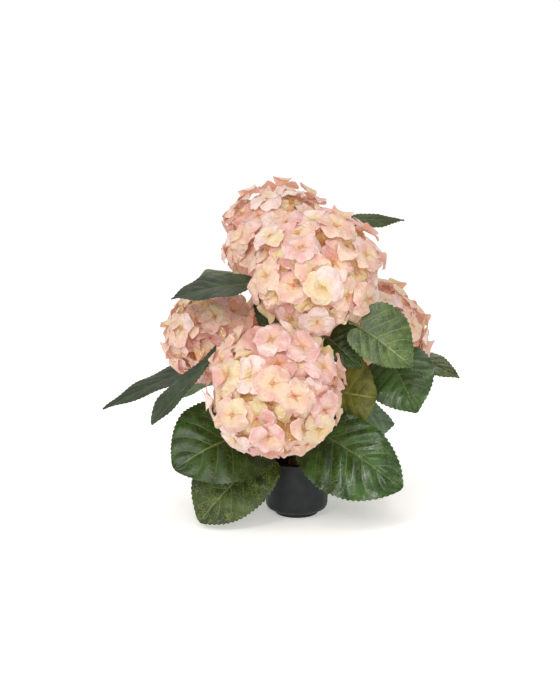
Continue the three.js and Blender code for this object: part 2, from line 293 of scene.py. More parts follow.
stemSizes = {
    "trunkCurve": ((0, 0, 67.35), (0, 0, 90), (1.5, -1, 113)),
    "trunkFoot": 10.5,
    "trunkTop": 7.5,
    "base": 3.3,
    "tip": 2.5,
    "inward": 0.62 * 0.75,  # how deep in its bloom a stem ends, over the bloom's radius
    "stub": 12.35,
    "joints": (0.3, 0.56, 0.8),  # swollen rings along a stem
    "jointSwell": (0.8, 0.012),  # how far they stand out, and how long they are
    "steps": 90,
    "sides": 12,
    "trunkSteps": 44,
    "trunkSides": 28,
    "trunkFlare": (2.2, 0.08),
}

stemFinish, tree, shader = newFinish("stemGreen", Roughness=0.6, Specular_IOR_Level=0.35)
where = objectPoints(tree, (1, 1, 0.12))
streaks = cloud(tree, where, 420, 3, 0.6)
blotches = cloud(tree, objectPoints(tree), 45, 3)
green = mixTints(tree, ramp(tree, streaks, 0.35, 0.7), tint("4d5c2f"), tint("6c7a45"))
paint(tree, shader, mixTints(tree, ramp(tree, blotches, 0.5, 0.75), green, tint("6b5034")))
relief(tree, shader, streaks, 0.6, 0.0006)

trunkFinish, tree, shader = newFinish("trunkBrown", Roughness=0.8, Specular_IOR_Level=0.3)
where = objectPoints(tree, (1, 1, 0.2))
furrows = cloud(tree, where, 300, 5, 0.65)
paint(tree, shader, mixTints(tree, ramp(tree, furrows, 0.3, 0.7), tint("3a2a1c"), tint("6b5738")))
relief(tree, shader, furrows, 0.9, 0.0012)


def tubeAlong(name, path, radii, sides):
    # a path with a round section, turned into a mesh
    curve = bpy.data.curves.new(name, "CURVE")
    curve.dimensions = "3D"
    curve.bevel_depth = 1.0
    curve.bevel_resolution = max(0, sides // 2 - 2)
    curve.use_fill_caps = True
    spline = curve.splines.new("POLY")
    spline.points.add(len(path) - 1)
    for point, at, radius in zip(spline.points, path, radii):
        point.co = (*(np.array(at) * mm), 1)
        point.radius = radius * mm
    piece = bpy.data.objects.new(name, curve)
    bpy.context.scene.collection.objects.link(piece)
    activate(piece)
    bpy.ops.object.convert(target="MESH")
    piece = bpy.context.object
    bpy.ops.object.shade_smooth()
    return piece


def facingOf(name):
    centre, radius, start, elbow = bloomSizes[name]
    return unit(np.array(centre) - np.array(elbow))


def stemCurve(name):
    centre, radius, start, elbow = bloomSizes[name]
    inward = radius * stemSizes["inward"] + stemSizes["stub"]
    return start, elbow, tuple(np.array(centre) - facingOf(name) * inward)


def growStem(name):
    start, elbow, end = stemCurve(name)
    share = np.linspace(0, 1, stemSizes["steps"])
    radii = stemSizes["base"] + (stemSizes["tip"] - stemSizes["base"]) * share
    swell, run = stemSizes["jointSwell"]
    for joint in stemSizes["joints"]:
        radii = radii + swell * np.exp(-(((share - joint) / run) ** 2))
    path = bezier(start, elbow, end, share)
    piece = tubeAlong(f"flower_stem_{name}", path, radii, stemSizes["sides"])
    points = readPoints(piece.data) / mm
    nearest = np.linalg.norm(points[:, None] - path[None], axis=2).argmin(1)
    away = points - path[nearest]
    turn = np.arctan2(away[:, 1], away[:, 0])
    wave = 1 + 0.05 * np.sin(points[:, 2] * 0.7 + away[:, 0] * 2.1) + 0.04 * np.sin(turn * 5)
    writePoints(piece.data, (path[nearest] + away * wave[:, None]) * mm)
    piece.data.materials.append(stemFinish)
    return finishPiece(piece, "stem", f"stem_{name}")


for name in bloomSizes:
    growStem(name)

share = np.linspace(0, 1, stemSizes["trunkSteps"])
path = bezier(*stemSizes["trunkCurve"], share)
flare, fade = stemSizes["trunkFlare"]
flare = flare * np.exp(-share / fade)
radii = stemSizes["trunkFoot"] + (stemSizes["trunkTop"] - stemSizes["trunkFoot"]) * share + flare - 0.6
trunkPiece = tubeAlong("short_trunk", path, radii, stemSizes["trunkSides"])
points = readPoints(trunkPiece.data) / mm
nearest = np.linalg.norm(points[:, None] - path[None], axis=2).argmin(1)
away = points - path[nearest]
turn = np.arctan2(away[:, 1], away[:, 0])
bark = 1 + 0.05 * np.sin(turn * 7 + points[:, 2] * 0.12) + 0.03 * np.sin(turn * 13 - points[:, 2] * 0.3)
writePoints(trunkPiece.data, (path[nearest] + away * bark[:, None]) * mm)
trunkPiece.data.materials.append(trunkFinish)
finishPiece(trunkPiece, "stem", "main_stem")
print("stage: stems made")

leafFinishes = {}
leafTints = {  # blade, its lighter patches, veins, underside, gloss, how strongly veins and net show
    "rich": ("182c06", "2e4a12", "8a9c58", "4f6130", 0.3, 0.42, 0.2),
    "glossy": ("18300a", "365620", "96ac6e", "4f6130", 0.2, 0.34, 0.16),
    "mossy": ("162804", "3e5210", "a4b060", "5c6d35", 0.42, 0.46, 0.36),
    "greyGreen": ("2a3e16", "566c36", "b0b880", "5c6e44", 0.36, 0.6, 0.16),
    "fresh": ("1e360c", "38561c", "8a9f56", "586f38", 0.28, 0.42, 0.14),
    "olive": ("434a0e", "727428", "b0b050", "6c6c30", 0.4, 0.5, 0.1),
    # painted light: a lighter copy of the leaf green, for the leaf that catches the light
    "paintedLit": ("43603a", "70856a", "93a67c", "6a7d58", 0.3, 0.3, 0.08),
    "dusty": ("242f1e", "36452d", "6c7a54", "525c42", 0.5, 0.35, 0.12),
    "dull": ("26330c", "3a4818", "707c42", "46512a", 0.75, 0.35, 0.12),
}
veinPattern = {"pairs": 5.5, "lean": 0.34, "stagger": 0.3, "netScale": 260, "patchScale": 40}


def leafFinish(name, blade, patch, vein, gloss, veinShare, netShare):
    finish, tree, shader = newFinish(name, Specular_IOR_Level=0.42)
    where = objectPoints(tree)
    uv = tree.nodes.new("ShaderNodeUVMap")
    split = tree.nodes.new("ShaderNodeSeparateXYZ")
    tree.links.new(uv.outputs[0], split.inputs[0])
    across = sums(tree, "ABSOLUTE", sums(tree, "MULTIPLY_ADD", split.outputs[0], 2.0, -1.0))
    rightHalf = sums(tree, "GREATER_THAN", split.outputs[0], 0.5)
    side = sums(tree, "MULTIPLY", rightHalf, veinPattern["stagger"])
    rise = sums(tree, "SUBTRACT", split.outputs[1], sums(tree, "MULTIPLY", across, veinPattern["lean"]))
    wobble = sums(tree, "MULTIPLY_ADD", cloud(tree, where, 30, 2), 0.3, -0.15)
    phase = sums(tree, "ADD", sums(tree, "MULTIPLY_ADD", rise, veinPattern["pairs"], wobble), side)
    fromVein = sums(tree, "PINGPONG", phase, 0.5)
    sideVeins = ramp(tree, fromVein, 0.014, 0.06, 1, 0)
    sideVeins = sums(tree, "MULTIPLY", sideVeins, ramp(tree, across, 0.45, 1.0, 1, 0.15))
    midrib = ramp(tree, across, 0.008, 0.036, 1, 0)
    veins = sums(tree, "MAXIMUM", sideVeins, midrib)
    net = ramp(tree, cells(tree, where, veinPattern["netScale"]), 0.0, 0.14, 1, 0)
    net = sums(tree, "MULTIPLY", net, ramp(tree, cloud(tree, where, 90, 4, 0.6), 0.4, 0.62, 0.1, 1))
    patches = ramp(tree, cloud(tree, where, veinPattern["patchScale"], 6, 0.7), 0.36, 0.66)
    base = mixTints(tree, patches, tint(blade), tint(patch))
    shown = sums(tree, "MAXIMUM", sums(tree, "MULTIPLY", sideVeins, 0.5), midrib)
    shown = sums(tree, "MULTIPLY", shown, veinShare)
    share = sums(tree, "MAXIMUM", shown, sums(tree, "MULTIPLY", net, netShare))
    paint(tree, shader, mixTints(tree, share, base, tint(vein)))
    dull = ramp(tree, cloud(tree, where, 70, 3), 0.25, 0.75, gloss - 0.06, gloss + 0.08)
    tree.links.new(dull, shader.inputs["Roughness"])
    grooved = sums(tree, "MAXIMUM", veins, sums(tree, "MULTIPLY", net, 2.2 * netShare))
    sunk = sums(tree, "SUBTRACT", 1.0, grooved)
    height = sums(tree, "MULTIPLY_ADD", cloud(tree, where, 240, 3), 0.2, sunk)
    relief(tree, shader, height, 0.5, 0.0006)
    return finish


for kind, (blade, patch, vein, under, gloss, veinShare, netShare) in leafTints.items():
    leafFinishes[kind] = (
        leafFinish(f"leaf_{kind}_top", blade, patch, vein, gloss, veinShare, netShare),
        leafFinish(f"leaf_{kind}_under", under, patch, vein, min(0.7, gloss + 0.22), veinShare, netShare),
    )

# Each leaf: limb and share along it, foot, tip, way its upper side faces, width, arch, fold,
# then its colour kind, how deep it is quilted and how much its margin waves.
leafSizes = {
    "low_front_left": (
        "trunk", 0.66, (-60, -42, 116), (-149, -104, 90), (-0.3, -0.8, 0.5),
        128, 14, 0.06, "rich", 2.6, 1.6,
    ),
    "lowest_front_left": (
        "trunk", 0.34, (-47, -46, 88), (-122, -74, 14), (-0.2, -0.88, 0.42),
        98, 8, 0.05, "mossy", 1.5, 1.4,
    ),
    "low_front_right": (
        "trunk", 0.5, (28, -50, 122), (126, -98, 64), (0.15, -0.9, 0.35),
        104, 12, 0.06, "glossy", 4.2, 1.8,
    ),
    "low_right": (
        "right", 0.12, (63, 73, 129), (134, 100, 96), (0.2, -0.75, 0.6),
        64, 6, 0.1, "paintedLit", 1.0, 1.2,
    ),
    "middle_right": (
        "upper", 0.3, (38, -18, 172), (96, -50, 167), (-0.45, -0.87, 0.1),
        94, 7, -0.08, "olive", 0.9, 1.0,
    ),
    "upper_right": (
        "upper", 0.72, (74, -106, 267), (134, -116, 222), (0.12, -0.9, 0.35),
        73, 5, 0.05, "greyGreen", 0.8, 1.2,
    ),
    "inner_right": (
        "upper", 0.64, (39, -58, 244), (75, -72, 211), (0.1, -0.85, 0.5),
        54, 4, 0.06, "rich", 1.2, 1.2,
    ),
    "outer_right": (
        "upper", 0.6, (122, -14, 208), (150, -46, 150), (-0.1, -0.9, 0.4),
        88, 7, 0.08, "fresh", 2.4, 1.6,
    ),
    "far_right": (
        "back", 0.4, (156, 108, 186), (218, 68, 169), (0.1, -0.4, 0.85),
        54, 5, 0.1, "mossy", 0.8, 0.8,
    ),
    "high_right": (
        "crown", 0.6, (80, 92, 381), (142, 98, 380), (0, -0.34, 0.94),
        44, 1, -0.04, "dull", 0.5, 0.4,
    ),
    "high_left": (
        "upper", 0.66, (-57, -30, 309), (-154, -52, 294), (-0.08, -0.3, 0.95),
        72, 5, 0.1, "dusty", 1.1, 1.5,
    ),
    "far_left": (
        "left", 0.5, (-129, 122, 175), (-260, 66, 126), (0.05, -0.13, 0.98),
        58, 4, 0.08, "dusty", 0.9, 1.4,
    ),
    "middle_left": (
        "left", 0.4, (-104, -46, 222), (-180, -72, 140), (-0.66, -0.42, 0.6),
        44, 1, 0.1, "dusty", 0.9, 1.0,
    ),
    "inner_left": (
        "crown", 0.4, (4, 14, 235), (-53, 14, 274), (-0.6, -0.75, 0.1),
        56, 5, 0.1, "rich", 0.9, 1.0,
    ),
    "low_back_left": (
        "trunk", 0.62, (-34, 34, 130), (-124, 108, 66), (-0.3, 0.5, 0.8),
        112, 14, 0.08, "rich", 1.6, 1.8,
    ),
    "low_back_right": (
        "trunk", 0.5, (12, 60, 98), (64, 150, 36), (0.35, 0.6, 0.75),
        108, 14, 0.08, "fresh", 1.5, 1.8,
    ),
    "lowest_back": (
        "trunk", 0.3, (-22, 52, 84), (-52, 142, 20), (0, 0.6, 0.8),
        100, 12, 0.08, "mossy", 1.4, 1.6,
    ),
    "middle_back_left": (
        "back", 0.3, (-66, 94, 146), (-166, 140, 122), (-0.2, 0.3, 0.9),
        88, 14, 0.1, "greyGreen", 1.2, 1.6,
    ),
    "middle_back_right": (
        "back", 0.3, (60, 122, 138), (156, 166, 116), (0.2, 0.4, 0.9),
        88, 14, 0.1, "rich", 1.3, 1.6,
    ),
    "high_back": (
        "crown", 0.5, (-60, 128, 294), (-134, 184, 282), (-0.3, 0.4, 0.9),
        84, 12, 0.1, "fresh", 1.2, 1.6,
    ),
    "low_left": (
        "trunk", 0.6, (-46, 2, 104), (-136, 10, 42), (-0.55, -0.05, 0.8),
        84, 12, 0.1, "mossy", 1.2, 1.4,
    ),
    "low_side_right": (
        "trunk", 0.42, (46, 2, 90), (122, 6, 32), (0.6, -0.05, 0.8),
        76, 10, 0.1, "rich", 1.2, 1.4,
    ),
    "upper_back_right": (
        "crown", 0.42, (46, 112, 280), (116, 158, 250), (0.3, 0.35, 0.9),
        80, 12, 0.1, "greyGreen", 1.2, 1.6,
    ),
}
leafElbows = {
    "lowest_front_left": (-18, -28, 108),
    "far_right": (70, 96, 168),
    "high_right": (60, 90, 330),
    "lowest_back": (-12, 26, 104),
    "high_back": (-64, 58, 288),
    "upper_back_right": (44, 66, 262),
}
leafRule = {
    "outline": (0.7, 0.62, 0.0),  # where the blade is broadest, how blunt it is, how lopsided
    "outlines": {
        "middle_left": (1.9, 0.45, -0.35),
        "high_left": (0.95, 0.85, 0.0),
        "low_front_left": (0.84, 0.5, 0.0),
        "lowest_front_left": (0.84, 0.5, -0.08),
        "low_front_right": (0.84, 0.54, -0.18),
        "low_right": (0.7, 0.62, -0.35),
        "middle_right": (1.3, 0.42, 0.0),
        "upper_right": (0.7, 0.62, 0.22),
        "inner_right": (0.7, 0.62, 0.3),
        "outer_right": (0.74, 0.6, 0.0),
        "high_right": (0.7, 0.9, 0.0),
    },
    "sweep": 0.09,
    "columns": 26,
    "toothPitch": 6.2,
    "toothDepth": 1.9,
    "thickness": 0.6,
    "petioleBase": 2.1,
    "petioleTip": 1.5,
    "stalkSteps": 26,
    "ribSteps": 22,
    "ribRadii": (1.15, 0.25),
    "point": 4.5,  # how far the drawn-out tip runs past the rounded blade
}


def bladeShape(name, t, v):
    widest, taper, skew = leafRule["outlines"].get(name, leafRule["outline"])
    broad = 0.34 * (1 - t) ** 6 + np.sin(np.pi * np.clip(t, 0, 1) ** widest) ** taper
    return broad * (1 + skew * np.sign(v))


def bladePoint(name, v, t, lift=0.0, spread=0.0):
    limb, on, base, tip, face, width, arch, fold = leafSizes[name][:8]
    v, t = np.broadcast_arrays(np.asarray(v, float), np.asarray(t, float))
    along = np.array(tip, float) - np.array(base)
    length = np.linalg.norm(along)
    along /= length
    up = np.array(face, float)
    up = unit(up - along * up.dot(along))
    side = np.cross(up, along)
    slope = 4 * arch * (1 - 2 * t) / length
    tangent = along + up * slope[..., None]
    tangent /= np.linalg.norm(tangent, axis=-1, keepdims=True)
    normal = np.cross(tangent, side)
    half = np.maximum(leafRule["petioleTip"], width / 2 * bladeShape(name, t, v))
    lift = np.asarray(lift) + half * fold * np.abs(v)
    run = length * (t - leafRule["sweep"] * np.abs(v) * (1 - t) ** 4) + leafRule["point"] * t**46
    return (
        np.array(base)
        + along * run[..., None]
        + up * (4 * arch * t * (1 - t))[..., None]
        + side * (half * v + np.sign(v) * spread)[..., None]
        + normal * lift[..., None]
    )


def growLeaf(name, index):
    limb, on, base, tip, face, width, arch, fold, kind, quilt, wave = leafSizes[name]
    random = seeded(501 + index * 31)
    # rows of the grid are spaced evenly along the margin, four to a tooth
    fine = np.linspace(0, 1, 1500)
    margin = bladePoint(name, np.ones(1500), fine)
    run = np.concatenate([[0], np.cumsum(np.linalg.norm(np.diff(margin, axis=0), axis=1))])
    teeth = int(round(run[-1] / leafRule["toothPitch"]))
    rows, columns = teeth * 4, leafRule["columns"]
    bpy.ops.mesh.primitive_grid_add(x_subdivisions=columns, y_subdivisions=rows, size=2, calc_uvs=True)
    piece = bpy.context.object
    piece.name = piece.data.name = f"blade_{name}"
    grid = readPoints(piece.data)
    v, step = -grid[:, 0], (grid[:, 1] + 1) / 2
    t = np.interp(step * run[-1], run, fine)
    row = np.round(step * rows).astype(int)
    tooth = (row % 4) / 3.0
    fade = np.clip(np.minimum(t / 0.06, (1 - t) / 0.03), 0, 1)
    edge = np.clip((np.abs(v) - 0.86) / 0.14, 0, 1)
    spread = leafRule["toothDepth"] * (tooth - 0.45) * edge * fade
    phase = veinPattern["pairs"] * (t - veinPattern["lean"] * np.abs(v)) + veinPattern["stagger"] * (v > 0)
    fromVein = np.abs(phase - np.round(phase))
    inner = np.sin(np.pi * np.clip(np.abs(v), 0, 1) ** 0.75) ** 0.7
    swell = 0.6 + 0.45 * np.sin(phase * 1.7 + index * 2.1 + 1.4 * (v > 0)) ** 2
    swell = swell + 0.3 * np.sin(v * 5 + index)
    roof = 0.6 * 2 * fromVein + 0.4 * (0.5 - 0.5 * np.cos(2 * np.pi * phase))  # broad flat slopes
    quilting = quilt * swell * roof * inner * np.sin(np.pi * t) ** 0.4
    grooves = -0.5 * np.exp(-((fromVein / 0.09) ** 2)) * (1 - 0.6 * np.abs(v))
    shape = bladeShape(name, t, v)
    midrib = -1.0 * np.exp(-((v * shape * width / 2 / 2.4) ** 2)) * (1 - 0.5 * t)
    shift = random() * 6, random() * 6
    ripple = wave * np.abs(v) ** 2.2 * np.where(
        v > 0, np.sin(2 * np.pi * 2.3 * t + shift[0]), np.sin(2 * np.pi * 2.6 * t + shift[1])
    )
    curl = -1.6 * np.abs(v) ** 3 * np.sin(np.pi * t)
    points = bladePoint(name, v, t, quilting + grooves + midrib + ripple + curl, spread)
    writePoints(piece.data, points * mm)
    layer = piece.data.uv_layers.active.data
    corners = np.zeros(len(piece.data.loops), np.int32)
    piece.data.loops.foreach_get("vertex_index", corners)
    layer.foreach_set("uv", np.stack([(v[corners] + 1) / 2, t[corners]], 1).ravel())
    for finish in (*leafFinishes[kind], stemFinish):
        piece.data.materials.append(finish)
    activate(piece)
    solidify = piece.modifiers.new("thickness", "SOLIDIFY")
    solidify.thickness = leafRule["thickness"] * mm
    solidify.offset = 0
    solidify.material_offset = 1
    bpy.ops.object.modifier_apply(modifier=solidify.name)
    bpy.ops.object.shade_smooth_by_angle(angle=math.radians(48))
    # the stalk, which runs on under the blade as its midrib
    curve = stemSizes["trunkCurve"] if limb == "trunk" else stemCurve(limb)
    start = bezier(*curve, on)
    foot, sunk = bladePoint(name, 0, 0.0), bladePoint(name, 0, 0.06)
    elbow = leafElbows.get(name)
    if elbow is None:
        elbow = foot - unit(sunk - foot) * 0.4 * np.linalg.norm(foot - start)
    stalkShare = np.linspace(0, 1, leafRule["stalkSteps"])
    stalk = bezier(start, elbow, sunk, stalkShare)
    ribShare = np.linspace(0.1, 0.93, leafRule["ribSteps"])
    rib = bladePoint(name, np.zeros_like(ribShare), ribShare, -1.0 * (1 - 0.5 * ribShare) - 0.25)
    radii = np.concatenate([
        leafRule["petioleBase"] + (leafRule["petioleTip"] - leafRule["petioleBase"]) * stalkShare,
        np.linspace(*leafRule["ribRadii"], leafRule["ribSteps"]),
    ])
    tube = tubeAlong(f"stalk_{name}", np.concatenate([stalk, rib]), radii, 8)
    while len(tube.data.materials):
        tube.data.materials.pop()
    for finish in (*leafFinishes[kind], stemFinish):
        tube.data.materials.append(finish)
    tube.data.polygons.foreach_set("material_index", np.full(len(tube.data.polygons), 2, np.int32))
    activate(piece, tube)
    bpy.ops.object.join()
    return finishPiece(piece, "leaf", f"leaf_{name}")


leafPieces = [growLeaf(name, index) for index, name in enumerate(leafSizes)]
print("stage: leaves made")

# one search tree over all the leaves, in millimetres, so that petals bend against them
leafPoints, leafFaces = [], []
for piece in leafPieces:
    first = sum(len(block) for block in leafPoints)
    leafPoints.append(readPoints(piece.data) / mm)
    leafFaces += [[first + i for i in face.vertices] for face in piece.data.polygons]
leafTree = BVHTree.FromPolygons(np.concatenate(leafPoints).tolist(), leafFaces)

bloomRule = {
    "domeShare": 0.92,
    "underShare": 0.75,
    "openAngle": 125,
    "fan": 0.4,  # florets turn away from a point this far under the middle, over the radius
    "reach": 24.6,  # length of a petal
    "lining": 0.35,  # how far the underside of a petal lies below its upper side
    "width": 29.5,
    "step": 4.8,  # between the three heights that neighbouring florets sit at
    "layers": {  # florets on a bloom of 85 mm radius, how deep they sit, how much they tilt
        "outer": (68, 6.0, 11),
        "inner": (46, 22.0, 38),
        "core": (16, 44.0, 40),
    },
    "bridge": (("upper", "crown"), 10, 46.0),  # florets round the ring where two blooms meet
    "countedOn": 85,  # the radius that those counts are for
    "overlap": 12,  # how far a floret may stand in the next bloom
    "pressBack": 16,  # how far a petal may, before it is pressed back
    "neighbour": 50,  # florets nearer than this take different heights
    "pressReach": 56,  # and nearer than this slip under one another
    "leafDepth": 0.6,  # a leaf this deep leaves a floret no room
    "mostMet": 0.06,  # share of its points that a leaf may press
    "pinch": 0.72,  # a petal pressed narrower than this share is left out
    "petalsKept": 3,
}

petalTints = {  # each finish drifts softly between two tints, and has a third near its throat, mostly darker and warmer: partly the petals' own colour there, partly painted shade of the floret's hollow
    "pinkCream": ("cfa497", "d5bca8", "cfb98d"),
    "blush": ("cd9d99", "d6b9b3", "cea988"),
    "rose": ("c08a82", "cba398", "c6916f"),
    "shell": ("d6bbb6", "dbcbc2", "d3b894"),
    "cream": ("cdb596", "d2c2a3", "c6a971"),
    "butter": ("c3ab7e", "caba93", "b99357"),
    "apricot": ("c29068", "cbac88", "b46f46"),
    "salmon": ("b6765a", "c18f70", "a55a39"),
    "coral": ("a25a3e", "b27352", "944a2a"),
    "amber": ("a07744", "b78f5b", "8a5a27"),
    # painted shade: the dark olive of the deepest florets, which shows as dark gaps between the others
    "shade": ("3f3c1d", "6a5a30", "3f3c1d"),
}

liningTints = ("deb2a2", "e4c6ae", "d6a07c")
# painted glow: every petal finish gives off a little light of its own, the linings most, which lifts their
# shaded undersides
petalGlows = {"petal": ("e09068", 0.05), "shade": ("e09068", 0.0), "lining": ("f6c6b0", 0.27)}

petalFinishes = []


def petalFinish(name, first, second, throat, glow):
    finish, tree, shader = newFinish(name, Specular_IOR_Level=0.2)
    shader.inputs["Sheen Weight"].default_value = 0.12
    shader.inputs["Sheen Roughness"].default_value = 0.5
    where = objectPoints(tree)
    blotches = ramp(tree, cloud(tree, where, 75, 2), 0.36, 0.64)
    blade = mixTints(tree, blotches, tint(first), tint(second))
    petalMap = tree.nodes.new("ShaderNodeUVMap")
    petalMap.uv_map = "petalMap"
    split = tree.nodes.new("ShaderNodeSeparateXYZ")
    tree.links.new(petalMap.outputs[0], split.inputs[0])
    far = sums(tree, "ABSOLUTE", sums(tree, "MULTIPLY_ADD", split.outputs[1], 2.0, -1.0))
    # the throat tint towards the petal's base: partly its own colour, partly painted shade where the petals
    # meet
    nearThroat = ramp(tree, split.outputs[0], 0.06, 0.62, 0.85, 0)
    nearThroat = sums(tree, "MULTIPLY", nearThroat, ramp(tree, far, 0.2, 0.9, 1, 0.3))
    blade = mixTints(tree, nearThroat, blade, tint(throat))
    # paler rim towards the petal's edge: partly the petals' own lighter edges, partly painted light standing
    # in for light shining through the thin edges
    rim = ramp(tree, split.outputs[0], 0.86, 1.0, 0, 0.3)
    rim = sums(tree, "MAXIMUM", rim, ramp(tree, far, 0.8, 1.0, 0, 0.25))
    paint(tree, shader, mixTints(tree, rim, blade, tint("e5d1cc")))
    tree.links.new(ramp(tree, cloud(tree, where, 120, 2), 0.3, 0.7, 0.62, 0.8), shader.inputs["Roughness"])
    crinkle = sums(tree, "MULTIPLY_ADD", cloud(tree, where, 900, 1), 0.1, cloud(tree, where, 150, 2))
    relief(tree, shader, crinkle, 1.0, 0.0042)
    shader.inputs["Emission Color"].default_value = tint(glow[0])  # painted glow: an emission that stands in for light coming through the thin cloth
    shader.inputs["Emission Strength"].default_value = glow[1]
    petalFinishes.append(finish)


for name, (first, second, throat) in petalTints.items():
    petalFinish(f"petal_{name}", first, second, throat, petalGlows.get(name, petalGlows["petal"]))
petalFinish("lining", *liningTints, petalGlows["lining"])
tintIndex = {name: i for i, name in enumerate(petalTints)}

petalSchemes = {  # throat and blade of a petal
    "pink": ("rose", "pinkCream"),
    "blush": ("rose", "blush"),
    "rosy": ("apricot", "rose"),
    "shell": ("pinkCream", "shell"),
    "creamy": ("butter", "cream"),
    "yellow": ("apricot", "butter"),
    "peachy": ("salmon", "apricot"),
    "warm": ("coral", "salmon"),
    "golden": ("coral", "amber"),
    "shade": ("shade", "shade"),
}
floretDeals = {  # by the height of an outer floret, then by layer; florets that sit deeper, the lower outer ones and the inner and core layers, get darker, warmer tints as painted shade of the head's depths
    0: ["pink", "blush", "shell", "creamy", "pink", "shell", "blush", "pink", "creamy"],
    1: ["pink", "rosy", "creamy", "blush", "pink", "yellow", "pink", "shell"],
    2: ["rosy", "peachy", "creamy", "yellow", "rosy", "creamy", "rosy", "pink", "pink", "golden"],
    "inner": ["rosy", "peachy", "yellow", "creamy", "warm", "rosy", "golden", "peachy"],
    "core": ["shade", "golden", "warm"],
}

beadFinish, tree, shader = newFinish("beadRose", Base_Color=tint("c25a60"), Roughness=0.6)
relief(tree, shader, cloud(tree, objectPoints(tree), 1500, 2), 0.4, 0.0003)
budFinish, tree, shader = newFinish("beadOlive", Base_Color=tint("b39a62"), Roughness=0.6)
relief(tree, shader, cloud(tree, objectPoints(tree), 1500, 2), 0.4, 0.0003)
stalkFinish, tree, shader = newFinish("stalkPale", Base_Color=tint("a9a571"), Roughness=0.6)
relief(tree, shader, cloud(tree, objectPoints(tree, (1, 1, 0.3)), 700, 2), 0.5, 0.0003)

# one petal and one bead are modelled, then dealt out as arrays
bpy.ops.object.select_all(action="DESELECT")
bpy.ops.mesh.primitive_grid_add(x_subdivisions=8, y_subdivisions=6, size=2)
petalModel = bpy.context.object
petalGrid = readPoints(petalModel.data)
petalFaces = np.array([list(face.vertices) for face in petalModel.data.polygons])
petalGrid = np.stack([  # the square grid drawn into a round one
    petalGrid[:, 0] * np.sqrt(1 - petalGrid[:, 1] ** 2 / 2),
    petalGrid[:, 1] * np.sqrt(1 - petalGrid[:, 0] ** 2 / 2),
], 1)
faceMiddle = petalGrid[petalFaces].mean(1)
petalRows = 7  # the grid's points stand in this many rows
bpy.data.objects.remove(petalModel)

bpy.ops.mesh.primitive_uv_sphere_add(segments=6, ring_count=4, radius=1)
beadModel = bpy.context.object
bpy.ops.object.mode_set(mode="EDIT")
bpy.ops.mesh.select_all(action="SELECT")
bpy.ops.mesh.quads_convert_to_tris()
bpy.ops.object.mode_set(mode="OBJECT")
beadPoints = readPoints(beadModel.data) * (1, 1, 0.7)
beadFaces = np.array([list(face.vertices) for face in beadModel.data.polygons])
bpy.data.objects.remove(beadModel)


def petalPoints(random, mood):
    # mood is the floret's own: 0 lies flat, 1 cups up
    p, q = petalGrid[:, 0], petalGrid[:, 1]
    s = (p + 1) / 2
    length = bloomRule["reach"] * (0.86 + 0.24 * random())
    width = bloomRule["width"] * (0.84 + 0.24 * random())
    claw = 0.58 + 0.42 * np.clip((p + 1) / 1.0, 0, 1) ** 0.8
    rim = np.hypot(p, q) ** 3.5
    around = np.arctan2(q, p)
    phase = [random() * 6.3 for _ in range(6)]
    x = length * (0.02 + 0.96 * s)
    x += length * (0.1 * random() - 0.07) * np.exp(-((q / 0.28) ** 2)) * np.clip(p, 0, 1) ** 5
    x += 0.6 * rim * np.sin(around * 6 + phase[0]) * s
    y = width / 2 * claw * q + 0.5 * rim * np.sin(around * 7 + phase[4]) * s
    rise = 2 + 4.5 * mood + 2.5 * random()
    curl = -10.5 + 7 * mood + 6 * (random() - 0.5)
    cross = -3.2 + 5 * mood + 4 * (random() - 0.5)
    if random() < 0.12:  # a petal folded up against its neighbour
        rise, cross = rise + 7, cross + 5
    twist = 3 + (random() - 0.5) * 9.0
    z = rise * np.sin(np.pi / 2 * np.clip(s * 1.5, 0, 1)) + curl * np.clip((s - 0.4) / 0.6, 0, 1) ** 2
    z += cross * q**2 * (0.3 + 0.7 * s) + twist * q * s**1.5 * 0.5
    z += (0.9 + 1.7 * random()) * rim * np.sin(around * 4 + phase[1]) * (0.2 + 0.8 * s)
    z += (0.3 + 0.6 * random()) * rim * np.sin(around * 9 + phase[5]) * s
    z += 1.2 * np.sin(p * 4 + phase[2]) * np.cos(q * 3.4 + phase[3]) * s
    return np.stack([x, y, z], 1)


def petalFaceTints(scheme):
    throat, blade = petalSchemes[scheme]
    # faces near the floret's middle take the throat's darker tint: partly own colour, partly painted shade
    return np.where(faceMiddle[:, 0] < -0.62, tintIndex[throat], tintIndex[blade])


def floretPlaces(radius, count, seed, depth):
    random = seeded(seed)
    lowest = math.cos(math.radians(bloomRule["openAngle"]))
    golden = math.pi * (3 - math.sqrt(5))
    places = []
    for i in range(count):
        height = 1 - ((i + 0.5) / count) * (1 - lowest)
        ring = math.sqrt(1 - height * height)
        angle = i * golden + (random() - 0.5) * 0.3
        share = bloomRule["domeShare"] if height > 0 else bloomRule["underShare"]
        direction = np.array([ring * math.cos(angle), ring * math.sin(angle), height * share])
        places.append((direction, radius - depth - random() * 3, random() * 2 * math.pi))
    return places


def pressPlanes(name):
    # where two blooms press together, each keeps to its own side of the plane between them
    centre, radius = np.array(bloomSizes[name][0], float), bloomSizes[name][1]
    planes = []
    for other, (otherCentre, otherRadius, start, elbow) in bloomSizes.items():
        between = centre - np.array(otherCentre)
        distance = np.linalg.norm(between)
        if other == name or distance > radius + otherRadius + 4:
            continue
        normal = between / distance
        between = np.array(otherCentre) + normal * distance * otherRadius / (radius + otherRadius)
        planes.append((normal, between.dot(normal)))
    return planes


def rotationTo(direction):
    return np.array(Vector((0, 0, 1)).rotation_difference(Vector(direction)).to_matrix())


